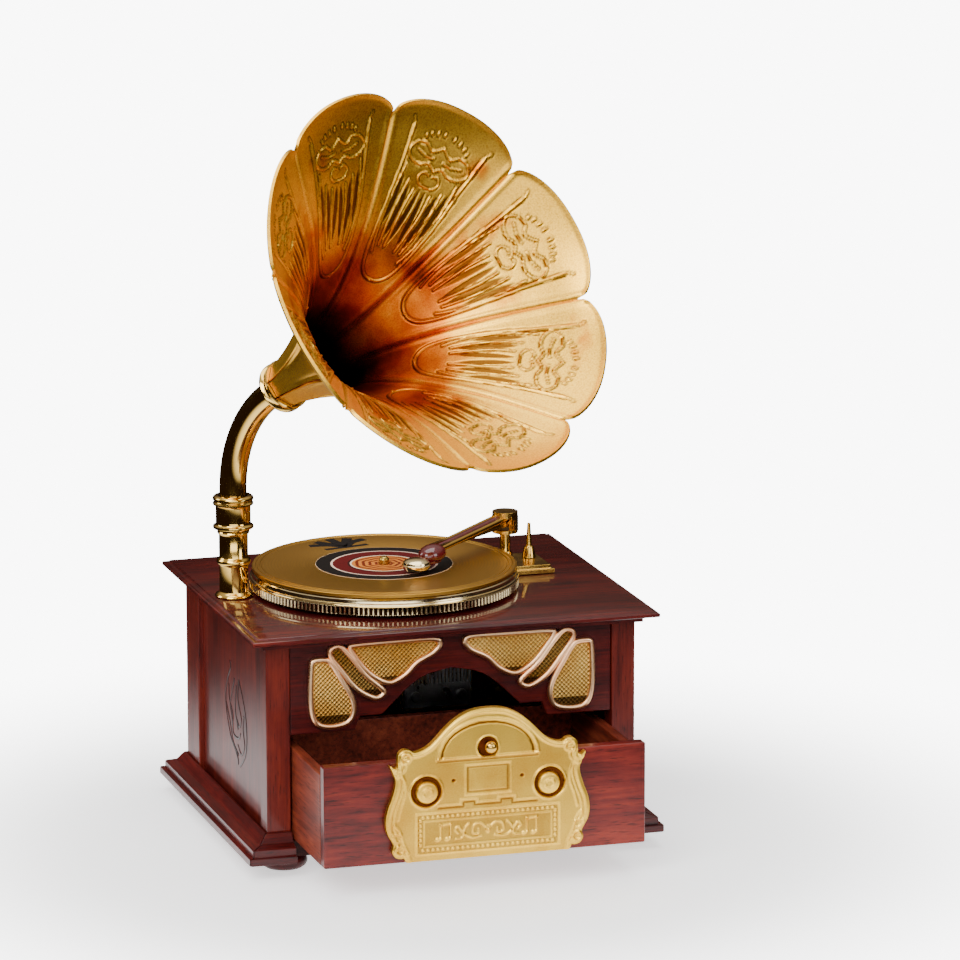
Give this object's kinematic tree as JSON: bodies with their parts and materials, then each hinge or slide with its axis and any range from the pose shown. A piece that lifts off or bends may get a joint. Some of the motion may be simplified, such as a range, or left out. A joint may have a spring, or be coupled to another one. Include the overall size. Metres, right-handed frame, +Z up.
{
  "type": "gramophone music box",
  "caption": "Wooden music box with a petalled horn on a swivelling tube, a turntable with a record and tonearm, a wind-up pinned-cylinder movement and a drawer.",
  "frame": {"origin": "bottom centre of the bounding box, on the plane the feet stand on", "axes": "+Z up, the drawer opens towards -Y, the horn stands on the -X side"},
  "size_m": [0.1268, 0.1768, 0.223],
  "materials": {
    "mahogany": "polished",
    "drawer_wood": "polished",
    "dark_wood": "satin",
    "gilt": "polished gilt",
    "matt_gilt": "matt gilt",
    "brass": "polished",
    "steel": "ground",
    "red_shell": "gloss"
  },
  "bodies": {
    "case": {"top_board": "mahogany", "side_panel_right": "mahogany", "side_panel_left": "mahogany", "front_post_right": "mahogany", "front_post_left": "mahogany", "rear_post_right": "mahogany", "rear_post_left": "mahogany", "back_panel": "mahogany", "front_fascia": "mahogany", "floor_board": "dark_wood", "plinth_front_left": "mahogany", "plinth_front_right": "mahogany", "plinth_back": "mahogany", "plinth_left": "mahogany", "plinth_right": "mahogany", "foot_front_left": "mahogany", "foot_front_right": "mahogany", "foot_back_left": "mahogany", "foot_back_right": "mahogany", "grille_right": "gilt", "grille_left": "gilt", "spindle_bush": "brass", "tonearm_base": "gilt", "tonearm_post": "gilt", "arm_rest": "gilt", "horn_socket": "gilt", "horn_sleeve": "gilt", "movement_bedplate": "steel", "spring_barrel": "brass", "arbor_bracket": "steel", "music_comb": "steel", "governor_bracket": "brass", "comb_screw_1": "steel", "comb_screw_2": "steel", "movement_screw_1": "steel", "movement_screw_2": "steel", "movement_screw_3": "steel"},
    "drawer": {"drawer_front": "drawer_wood", "drawer_side_right": "dark_wood", "drawer_side_left": "dark_wood", "drawer_back": "dark_wood", "drawer_bottom": "dark_wood", "plaque": "matt_gilt", "drawer_knob": "gilt"},
    "turntable": {"platter": "gilt", "record": "gilt", "turntable_spindle": "steel"},
    "tonearm_yoke": {"tonearm_yoke": "gilt", "tonearm_pin": "steel"},
    "tonearm": {"tonearm_arm": "gilt", "tonearm_head_shell": "red_shell", "sound_box": "gilt"},
    "horn": {"horn_elbow": "gilt", "horn_collar": "gilt", "horn": "matt_gilt"},
    "winding_train": {"main_arbor": "steel", "winding_key": "gilt"},
    "cylinder": {"pinned_cylinder": "brass"},
    "middle_wheel": {"middle_wheel": "brass"},
    "governor": {"governor": "steel"}
  },
  "joints": [
    {"name": "drawer_slide", "type": "slide", "parent": "case", "child": "drawer", "axis": [0, -1, 0], "range_m": [-0.031, 0.016]},
    {"name": "turntable_spin", "type": "hinge", "parent": "case", "child": "turntable", "pos_m": [-0.00556, 0.02327, 0.077], "axis": [0, 0, 1], "continuous": true},
    {"name": "key_spin", "type": "hinge", "parent": "case", "child": "winding_train", "pos_m": [-0.00556, 0.05577, 0.05], "axis": [0, 1, 0], "continuous": true},
    {"name": "cylinder_spin", "type": "hinge", "parent": "case", "child": "cylinder", "pos_m": [0.01194, 0.04834, 0.05], "axis": [1, 0, 0], "continuous": true},
    {"name": "middle_spin", "type": "hinge", "parent": "case", "child": "middle_wheel", "pos_m": [0.02694, 0.04834, 0.042], "axis": [1, 0, 0], "continuous": true},
    {"name": "governor_spin", "type": "hinge", "parent": "case", "child": "governor", "pos_m": [0.03624, 0.04577, 0.0347], "axis": [0, 1, 0], "continuous": true},
    {"name": "tonearm_swing", "type": "hinge", "parent": "case", "child": "tonearm_yoke", "pos_m": [0.03614, 0.03977, 0.083], "axis": [0, 0, 1], "range_deg": [-8, 42]},
    {"name": "tonearm_lift", "type": "hinge", "parent": "tonearm_yoke", "child": "tonearm", "pos_m": [0.03614, 0.03977, 0.083], "axis": [-0.6494, 0.7604, 0], "range_deg": [0, 12]},
    {"name": "horn_swivel", "type": "hinge", "parent": "case", "child": "horn", "pos_m": [-0.04956, 0.02677, 0.095], "axis": [0, 0, 1], "range_deg": [-45, 45]}
  ],
  "couplings": [
    {"joint": "key_spin", "follows": "turntable_spin", "ratio": -1},
    {"joint": "cylinder_spin", "follows": "turntable_spin", "ratio": 3},
    {"joint": "middle_spin", "follows": "turntable_spin", "ratio": -9},
    {"joint": "governor_spin", "follows": "turntable_spin", "ratio": -45}
  ]
}
